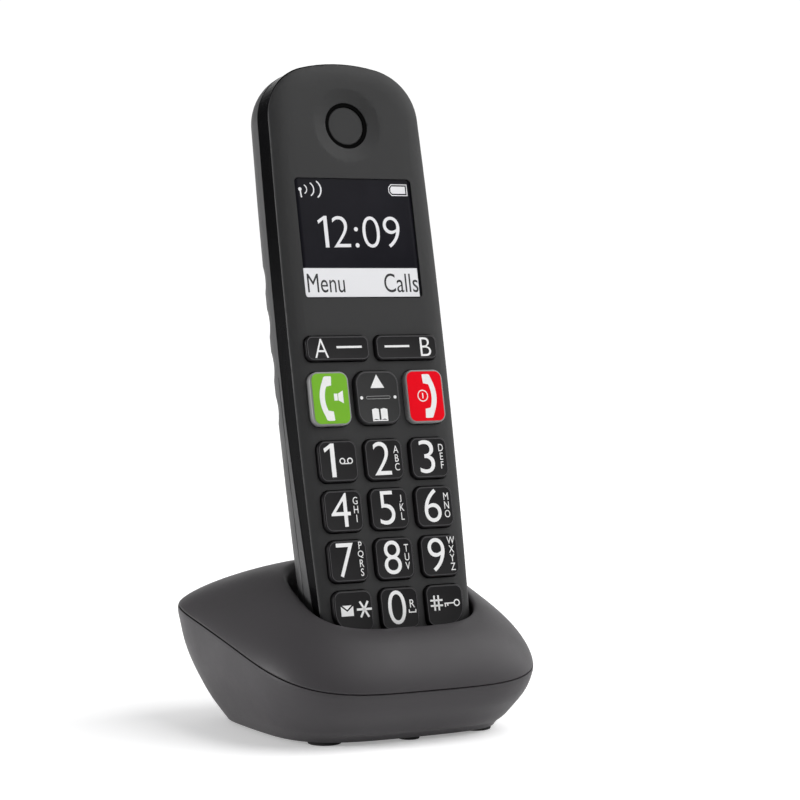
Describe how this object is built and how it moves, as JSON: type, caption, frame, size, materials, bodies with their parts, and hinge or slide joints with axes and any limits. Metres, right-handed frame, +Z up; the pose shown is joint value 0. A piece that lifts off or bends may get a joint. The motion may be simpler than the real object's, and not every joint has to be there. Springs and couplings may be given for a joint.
{
  "type": "cordless phone with charging base",
  "caption": "Cordless phone handset with keypad and display, leaning back in the cradle well of a rounded square charging base.",
  "frame": {"origin": "on the table, under the middle of the base", "axes": "+Z up, +X to the user's right, -Y towards the user, who faces the keypad"},
  "size_m": [0.0846, 0.0835, 0.1816],
  "materials": {
    "shell_charcoal": "fine matte texture",
    "base_charcoal": "fine matte texture",
    "band_gloss_black": "polished",
    "key_black": "satin, printed legends",
    "key_green": "satin",
    "key_red": "satin",
    "window_dark": "clear over a dark display",
    "display_panel": "liquid crystal panel",
    "white_plastic": "light guide",
    "rubber_black": "soft",
    "silicone_grey": "silicone",
    "board_green": "solder mask",
    "tin": "tinned sheet",
    "nickel": "nickel plate",
    "black_plastic": "moulded",
    "cell_can": "sleeved cell",
    "screw_steel": "zinc plated"
  },
  "bodies": {
    "base": {"base_bottom_shell": "base_charcoal", "base_top_shell": "base_charcoal", "rubber_feet": "rubber_black", "base_screws": "screw_steel", "base_board": "board_green", "base_rf_shield": "tin", "base_antennas": "tin", "line_socket": "black_plastic", "line_socket_pins": "nickel", "dc_inlet": "black_plastic", "dc_inlet_pin": "nickel", "contact_carrier": "black_plastic"},
    "handset": {"front_shell": "shell_charcoal", "accent_band": "band_gloss_black", "rear_shell": "shell_charcoal", "handset_charge_contacts": "nickel", "display_window": "window_dark", "lcd_panel": "display_panel", "backlight_plate": "white_plastic", "earpiece_cap": "shell_charcoal", "earpiece_capsule": "black_plastic", "keypad_mat": "silicone_grey", "handset_board": "board_green", "handset_rf_shield": "tin", "handset_antenna": "tin", "ringer_speaker": "black_plastic", "microphone": "black_plastic", "battery_cells": "cell_can", "battery_contacts": "nickel", "handset_screws": "screw_steel"},
    "battery_door": {"battery_door": "shell_charcoal"},
    "paging_key": {"paging_key": "black_plastic"},
    "charge_spring_left": {"charge_spring_left": "nickel"},
    "charge_spring_right": {"charge_spring_right": "nickel"},
    "navigation_key": {"navigation_key": "key_black"},
    "key_1": {"key_1": "key_black"},
    "key_2": {"key_2": "key_black"},
    "key_3": {"key_3": "key_black"},
    "key_4": {"key_4": "key_black"},
    "key_5": {"key_5": "key_black"},
    "key_6": {"key_6": "key_black"},
    "key_7": {"key_7": "key_black"},
    "key_8": {"key_8": "key_black"},
    "key_9": {"key_9": "key_black"},
    "key_star": {"key_star": "key_black"},
    "key_0": {"key_0": "key_black"},
    "key_hash": {"key_hash": "key_black"},
    "soft_key_a": {"soft_key_a": "key_black"},
    "soft_key_b": {"soft_key_b": "key_black"},
    "talk_key": {"talk_key": "key_green"},
    "end_key": {"end_key": "key_red"}
  },
  "joints": [
    {"name": "handset_lift", "type": "slide", "parent": "base", "child": "handset", "axis": [0, 0.2154, 0.9765], "range_m": [0, 0.06]},
    {"name": "battery_door_lift", "type": "slide", "parent": "handset", "child": "battery_door", "axis": [0, 0.9765, -0.2154], "range_m": [0, 0.012]},
    {"name": "key_1_press", "type": "slide", "parent": "handset", "child": "key_1", "axis": [0, 0.9765, -0.2154], "range_m": [0, 0.00065], "stiffness_N_per_m": 400},
    {"name": "key_2_press", "type": "slide", "parent": "handset", "child": "key_2", "axis": [0, 0.9765, -0.2154], "range_m": [0, 0.00065], "stiffness_N_per_m": 400},
    {"name": "key_3_press", "type": "slide", "parent": "handset", "child": "key_3", "axis": [0, 0.9765, -0.2154], "range_m": [0, 0.00065], "stiffness_N_per_m": 400},
    {"name": "key_4_press", "type": "slide", "parent": "handset", "child": "key_4", "axis": [0, 0.9765, -0.2154], "range_m": [0, 0.00065], "stiffness_N_per_m": 400},
    {"name": "key_5_press", "type": "slide", "parent": "handset", "child": "key_5", "axis": [0, 0.9765, -0.2154], "range_m": [0, 0.00065], "stiffness_N_per_m": 400},
    {"name": "key_6_press", "type": "slide", "parent": "handset", "child": "key_6", "axis": [0, 0.9765, -0.2154], "range_m": [0, 0.00065], "stiffness_N_per_m": 400},
    {"name": "key_7_press", "type": "slide", "parent": "handset", "child": "key_7", "axis": [0, 0.9765, -0.2154], "range_m": [0, 0.00065], "stiffness_N_per_m": 400},
    {"name": "key_8_press", "type": "slide", "parent": "handset", "child": "key_8", "axis": [0, 0.9765, -0.2154], "range_m": [0, 0.00065], "stiffness_N_per_m": 400},
    {"name": "key_9_press", "type": "slide", "parent": "handset", "child": "key_9", "axis": [0, 0.9765, -0.2154], "range_m": [0, 0.00065], "stiffness_N_per_m": 400},
    {"name": "key_star_press", "type": "slide", "parent": "handset", "child": "key_star", "axis": [0, 0.9765, -0.2154], "range_m": [0, 0.00065], "stiffness_N_per_m": 400},
    {"name": "key_0_press", "type": "slide", "parent": "handset", "child": "key_0", "axis": [0, 0.9765, -0.2154], "range_m": [0, 0.00065], "stiffness_N_per_m": 400},
    {"name": "key_hash_press", "type": "slide", "parent": "handset", "child": "key_hash", "axis": [0, 0.9765, -0.2154], "range_m": [0, 0.00065], "stiffness_N_per_m": 400},
    {"name": "soft_key_a_press", "type": "slide", "parent": "handset", "child": "soft_key_a", "axis": [0, 0.9765, -0.2154], "range_m": [0, 0.00065], "stiffness_N_per_m": 400},
    {"name": "soft_key_b_press", "type": "slide", "parent": "handset", "child": "soft_key_b", "axis": [0, 0.9765, -0.2154], "range_m": [0, 0.00065], "stiffness_N_per_m": 400},
    {"name": "talk_key_press", "type": "slide", "parent": "handset", "child": "talk_key", "axis": [0, 0.9765, -0.2154], "range_m": [0, 0.00065], "stiffness_N_per_m": 400},
    {"name": "end_key_press", "type": "slide", "parent": "handset", "child": "end_key", "axis": [0, 0.9765, -0.2154], "range_m": [0, 0.00065], "stiffness_N_per_m": 400},
    {"name": "navigation_key_rock", "type": "hinge", "parent": "handset", "child": "navigation_key", "pos_m": [0, -0.0066, 0.08937], "axis": [1, 0, 0], "range_deg": [-3, 3], "stiffness_Nm_per_rad": 0.02},
    {"name": "paging_key_press", "type": "slide", "parent": "base", "child": "paging_key", "axis": [0, -1, 0], "range_m": [0, 0.0008], "stiffness_N_per_m": 500},
    {"name": "charge_spring_left_press", "type": "slide", "parent": "base", "child": "charge_spring_left", "axis": [0, 0.2154, 0.9765], "range_m": [-0.001, 0], "stiffness_N_per_m": 200},
    {"name": "charge_spring_right_press", "type": "slide", "parent": "base", "child": "charge_spring_right", "axis": [0, 0.2154, 0.9765], "range_m": [-0.001, 0], "stiffness_N_per_m": 200}
  ]
}
